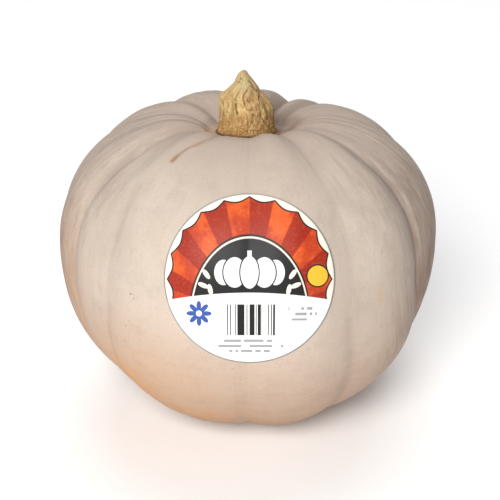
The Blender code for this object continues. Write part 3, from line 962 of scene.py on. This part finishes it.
# Painted shade on the stem's right side, away from the key light.
cork_colour = tint(cork, faded(cork, "shaded_right_side", 0.55), cork_colour, DARK_CORK_AND_SHADE)
point_share = between(cork, stem_climb, 0.55, 0.85, 0.0, 0.30)
cork_colour = tint(cork, point_share, cork_colour, GREEN_STRAW)
cork_colour = tint(cork, faded(cork, "facet", 0.85), cork_colour, GREEN_STRAW)
pale_share = reckon(cork, "MULTIPLY_ADD", painted(cork, "crumbly"), -0.45, 0.75)
pale_share = times(cork, between(cork, flecks_across, 0.51, 0.61), pale_share)
knot_share = times(cork, faded(cork, "knot", 0.75), between(cork, mottle, 0.42, 0.60, 0.35, 1.0))
grit_share = reckon(cork, "MULTIPLY_ADD", painted(cork, "crumbly"), 0.60, 0.30)
grit_share = times(cork, between(cork, grit, 0.50, 0.66), grit_share)
for layer_share, colour in (
    (pale_share, PALE_CORK_AND_HIGHLIGHT),
    (between(cork, flecks_across, 0.48, 0.38, 0.0, 0.60), RUST),
    (between(cork, fibre, 0.46, 0.36, 0.0, 0.60), DARK_CORK_AND_SHADE),
    # Painted highlight on the tops of the crumbs.
    (faded(cork, "crest_highlight", 0.60), PALE_CORK_AND_HIGHLIGHT),
    (knot_share, RUST),
    # Painted shade in the hollows of the bark.
    (faded(cork, "bark_hollow_shade", 0.75), DARK_CORK_AND_SHADE),
    (faded(cork, "fissure", 0.90), DARK_CREVICE),
    # Painted shade low on the stem, and below it a painted contact shadow at its very foot.
    (between(cork, stem_climb, 0.13, 0.03, 0.0, 0.35), DARK_CORK_AND_SHADE),
    (grit_share, DARK_CORK_AND_SHADE),
    (between(cork, stem_climb, 0.050, 0.012, 0.0, 0.95), DARK_CREVICE),
):
    cork_colour = tint(cork, layer_share, cork_colour, colour)
CORK_BUMP = (0.7, 0.0009)
cork_relief = layered(cork, ((fibre, 0.5), (flecks_across, 0.9), (grit, 0.35)))
set_inputs(cork, cork_shader, {
    "Base Color": cork_colour,
    "Roughness": between(cork, mottle, 0.3, 0.7, 0.78, 0.92),
    "Normal": fine_relief(cork, cork_relief, *CORK_BUMP),
})
stem.data.materials.append(cork)
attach(stem, "root")
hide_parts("stem")

# The label: a round sticker of white paper, printed in a few flat inks and pressed on to
# the front of the fruit, where it follows the ribs. Its design is a plain harvest pattern.
LABEL_DIAMETER = 0.088
LABEL_THICKNESS = 0.00022
LABEL_GAP = 0.00012
LABEL_CENTRE = Vector((0.0006, -0.1075, 0.1262))
LABEL_AIM = math.radians(26)
LABEL_EDGES = 192
LABEL_RINGS = 40
bpy.ops.object.select_all(action="DESELECT")
bpy.ops.mesh.primitive_circle_add(
    vertices=LABEL_EDGES, radius=LABEL_DIAMETER / 2, fill_type="NGON"
)
label = bpy.context.object
label.name = "round_label"
bpy.ops.object.mode_set(mode="EDIT")
bpy.ops.mesh.select_all(action="SELECT")
for ring_index in range(LABEL_RINGS - 1):
    bpy.ops.mesh.inset(thickness=LABEL_DIAMETER / 2 / LABEL_RINGS)
bpy.ops.mesh.poke()
bpy.ops.object.mode_set(mode="OBJECT")
for layer in list(label.data.uv_layers):
    label.data.uv_layers.remove(layer)
print_layer = label.data.uv_layers.new(name="print")
for loop in label.data.loops:
    flat = label.data.vertices[loop.vertex_index].co
    print_layer.data[loop.index].uv = (flat.x / LABEL_DIAMETER + 0.5, flat.y / LABEL_DIAMETER + 0.5)
facing = Vector((0.0, -math.cos(LABEL_AIM), math.sin(LABEL_AIM)))
label.data.transform(
    Matrix.Translation(fruit_shift + LABEL_CENTRE + facing * LABEL_DIAMETER)
    @ Matrix.Rotation(math.pi / 2 - LABEL_AIM, 4, "X")
)
surface = fruit.evaluated_get(bpy.context.evaluated_depsgraph_get())
for vertex in label.data.vertices:
    _, place, _, _ = surface.ray_cast(vertex.co, -facing)
    vertex.co = place + facing * LABEL_GAP
bpy.ops.object.shade_smooth()
thickness = label.modifiers.new("paper", "SOLIDIFY")
thickness.thickness = LABEL_THICKNESS
thickness.offset = 1.0
bpy.ops.object.modifier_apply(modifier="paper")

paper, paper_shader = new_material("label paper")
WHITE_INK = (0.86, 0.86, 0.86, 1.0)
ORANGE_INK = (0.54, 0.054, 0.009, 1.0)
RED_INK = (0.27, 0.014, 0.006, 1.0)
BRIGHT_ORANGE_INK = (0.63, 0.098, 0.015, 1.0)
CHARCOAL_INK = (0.012, 0.011, 0.012, 1.0)
CREAM_INK = (0.76, 0.72, 0.62, 1.0)
YELLOW_INK = (0.74, 0.44, 0.035, 1.0)
GREY_INK = (0.16, 0.16, 0.17, 1.0)
BLUE_INK = (0.035, 0.085, 0.32, 1.0)
INK_EDGE = 0.006


def on_label(operation, *numbers):
    """One step of arithmetic on the label's print."""
    return reckon(paper, operation, *numbers)


printed = add_node(paper, "UVMap", uv_map="print").outputs["UV"]
split = add_node(paper, "SeparateXYZ", {"Vector": printed})
across = on_label("MULTIPLY_ADD", split.outputs["X"], 2.0, -1.0)
upward = on_label("MULTIPLY_ADD", split.outputs["Y"], 2.0, -1.0)
mirrored = on_label("ABSOLUTE", across)


def oval(x, y, side, level, half_width, half_height, lean=0.0):
    """How far outside an oval a place is: 1 on its line, less inside."""
    dx = on_label("SUBTRACT", x, side)
    dy = on_label("SUBTRACT", y, level)
    cosine, sine = math.cos(lean), math.sin(lean)
    along_x = on_label("MULTIPLY_ADD", dx, cosine, on_label("MULTIPLY", dy, sine))
    along_y = on_label("MULTIPLY_ADD", dy, cosine, on_label("MULTIPLY", dx, -sine))
    squares = [
        on_label("POWER", on_label("ABSOLUTE", on_label("DIVIDE", place, half_size)), 2.0)
        for place, half_size in ((along_x, half_width), (along_y, half_height))
    ]
    return on_label("SQRT", on_label("ADD", *squares))


def inside(distance, line=1.0, edge=0.03):
    """1 where a distance is inside its line, with a narrow soft edge."""
    return between(paper, distance, line + edge, line - edge)


def block(x, y, side, level, half_width, half_height):
    """1 inside a straight-sided block."""
    past = [
        on_label("SUBTRACT", on_label("ABSOLUTE", on_label("SUBTRACT", place, middle)), half_size)
        for place, middle, half_size in ((x, side, half_width), (y, level, half_height))
    ]
    return between(paper, on_label("MAXIMUM", *past), INK_EDGE, -INK_EDGE)


def chance(start, steps_across):
    """A random number from 0 to 1 for each narrow step across the label."""
    steps = on_label("FLOOR", on_label("MULTIPLY", on_label("ADD", across, start), steps_across))
    return add_node(paper, "TexWhiteNoise", {"W": steps}, noise_dimensions="1D").outputs["Value"]


# A field of orange rays behind a dark round hill with a cream line round it.
RAYS = 30
HILL_LEVEL = -0.42
HILL_HALF_SIZES = (0.66, 0.88)
wash = speckle(paper, printed, 5.0, 5.0, 0.6)
paper_grain = speckle(paper, printed, 55.0, 3.0, 0.6)
ray_angle = on_label("ARCTAN2", across, on_label("SUBTRACT", upward, HILL_LEVEL))
ray_wave = on_label("SINE", on_label("MULTIPLY", ray_angle, RAYS / 2))
field = tint(paper, between(paper, wash, 0.35, 0.65), ORANGE_INK, BRIGHT_ORANGE_INK)
field = tint(paper, between(paper, ray_wave, -0.12, 0.12, 0.0, 0.85), field, RED_INK)
field = tint(paper, between(paper, wash, 0.60, 0.42, 0.0, 0.45), field, RED_INK)
field = tint(paper, between(paper, paper_grain, 0.50, 0.80, 0.0, 0.07), field, CREAM_INK)
hill = oval(across, upward, 0.0, HILL_LEVEL, *HILL_HALF_SIZES)
for line_place, colour in ((1.070, CHARCOAL_INK), (1.040, CREAM_INK), (1.015, CHARCOAL_INK)):
    field = tint(paper, inside(hill, line_place, 0.008), field, colour)

# A cream scalloped border along the upper rim.
SCALLOPS = 20
SCALLOP_DEPTH = 0.055
rim = oval(across, upward, 0.0, 0.0, 1.0, 1.0)
rim_angle = on_label("ARCTAN2", across, upward)
scallop = on_label("ABSOLUTE", on_label("SINE", on_label("MULTIPLY", rim_angle, SCALLOPS / 2)))
border = on_label("MULTIPLY_ADD", scallop, SCALLOP_DEPTH, rim)
field = tint(paper, between(paper, border, 0.946, 0.954), field, CHARCOAL_INK)
field = tint(paper, between(paper, border, 0.964, 0.972), field, CREAM_INK)

# A plain pumpkin with a leafy sprig on each side, in cream on the hill.
MOTIF_LEVEL = 0.08
for place, side, half_width, half_height, line_place in (
    (mirrored, 0.300, 0.110, 0.150, 1.09),
    (mirrored, 0.172, 0.132, 0.180, 1.09),
    (across, 0.0, 0.108, 0.192, 1.11),
):
    lobe = oval(place, upward, side, MOTIF_LEVEL, half_width, half_height)
    field = tint(paper, inside(lobe, line_place, 0.02), field, CHARCOAL_INK)
    field = tint(paper, inside(lobe, 0.97), field, WHITE_INK)
stalk = block(across, upward, 0.0, MOTIF_LEVEL + 0.215, 0.024, 0.036)
field = tint(paper, stalk, field, WHITE_INK)
for side, level, lean in ((0.500, 0.060, 0.95), (0.535, -0.070, 0.40), (0.455, -0.120, 1.35)):
    leaf = oval(mirrored, upward, side, level, 0.066, 0.027, lean)
    field = tint(paper, inside(leaf, 1.0, 0.05), field, CREAM_INK)

# One plain yellow sun at the right, with a thin dark line round it.
sun = oval(across, upward, 0.79, 0.04, 0.135, 0.135)
field = tint(paper, inside(sun), field, CHARCOAL_INK)
field = tint(paper, inside(sun, 0.88), field, YELLOW_INK)

# The lower part stays white, with plain bars and short rules where such labels have them.
BAR_STEPS = 84.0
RULE_STEPS = 30.0
RULE_STRENGTH = 0.8
horizon = on_label("MULTIPLY_ADD", on_label("MULTIPLY", across, across), -0.10, -0.155)
upper_part = between(paper, on_label("SUBTRACT", upward, horizon), -INK_EDGE, INK_EDGE)
label_colour = tint(paper, upper_part, WHITE_INK, field)
bars = between(paper, chance(1.0, BAR_STEPS), 0.49, 0.51)
bars = times(paper, block(across, upward, 0.01, -0.475, 0.30, 0.185), bars)
label_colour = tint(paper, bars, label_colour, CHARCOAL_INK)
for side, level, half_width, half_height, start in (
    (0.0, -0.725, 0.30, 0.016, 11.0),
    (0.0, -0.790, 0.40, 0.016, 23.0),
    (0.0, -0.850, 0.24, 0.016, 37.0),
    (0.62, -0.340, 0.17, 0.018, 53.0),
    (0.66, -0.405, 0.13, 0.018, 71.0),
    (0.58, -0.470, 0.09, 0.014, 89.0),
):
    rules = between(paper, chance(start, RULE_STEPS), 0.20, 0.22)
    rules = times(paper, block(across, upward, side, level, half_width, half_height), rules)
    label_colour = tint(paper, times(paper, rules, RULE_STRENGTH), label_colour, GREY_INK)

# A blue rosette of eight petals at the left, and a thin grey line round the cut edge.
PETALS = 8
ROSETTE_SIDE, ROSETTE_LEVEL = -0.59, -0.40
ROSETTE_RADIUS = 0.15
rosette_x = on_label("SUBTRACT", across, ROSETTE_SIDE)
rosette_y = on_label("SUBTRACT", upward, ROSETTE_LEVEL)
rosette_angle = on_label("ARCTAN2", rosette_y, rosette_x)
from_rosette = oval(across, upward, ROSETTE_SIDE, ROSETTE_LEVEL, ROSETTE_RADIUS, ROSETTE_RADIUS)
petal_wave = on_label("COSINE", on_label("MULTIPLY", rosette_angle, PETALS / 2))
petals = on_label("MULTIPLY_ADD", on_label("ABSOLUTE", petal_wave), -0.55, from_rosette)
petals = between(paper, petals, 0.47, 0.41)
petals = times(paper, petals, between(paper, from_rosette, 0.20, 0.26))
label_colour = tint(paper, petals, label_colour, BLUE_INK)
label_colour = tint(paper, between(paper, rim, 0.978, 0.990, 0.0, 0.75), label_colour, GREY_INK)
PAPER_BUMP = (0.10, 0.0002)
set_inputs(paper, paper_shader, {
    "Base Color": label_colour,
    "Roughness": 0.50,
    "Specular IOR Level": 0.25,
    "Normal": fine_relief(paper, paper_grain, *PAPER_BUMP),
})
label.data.materials.append(paper)
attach(label, "root")
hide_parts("label")
